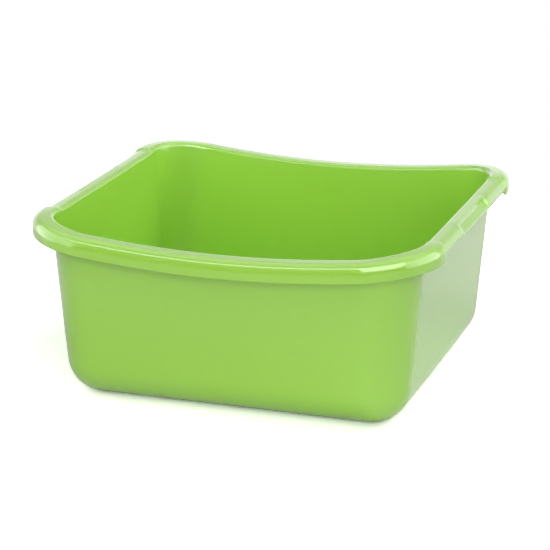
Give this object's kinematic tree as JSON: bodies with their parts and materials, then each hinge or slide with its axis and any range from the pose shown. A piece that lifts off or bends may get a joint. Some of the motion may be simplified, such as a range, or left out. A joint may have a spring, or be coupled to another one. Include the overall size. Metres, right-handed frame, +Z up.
{
  "type": "washing-up basin",
  "caption": "Nearly square plastic basin with leaning walls, a hollow rolled rim that dips at front and back, and a stepped hand grip in the middle of each side rim.",
  "frame": {"origin": "centre of the flat underside, on the surface the basin stands on", "axes": "+Z up, out of the open mouth; +X towards the right-hand grip, along the longer side; +Y towards the back"},
  "size_m": [0.33, 0.318, 0.145],
  "materials": {
    "green_plastic": "smooth satin gloss, opaque lime green"
  },
  "bodies": {
    "root": {"basin": "green_plastic"}
  },
  "joints": []
}
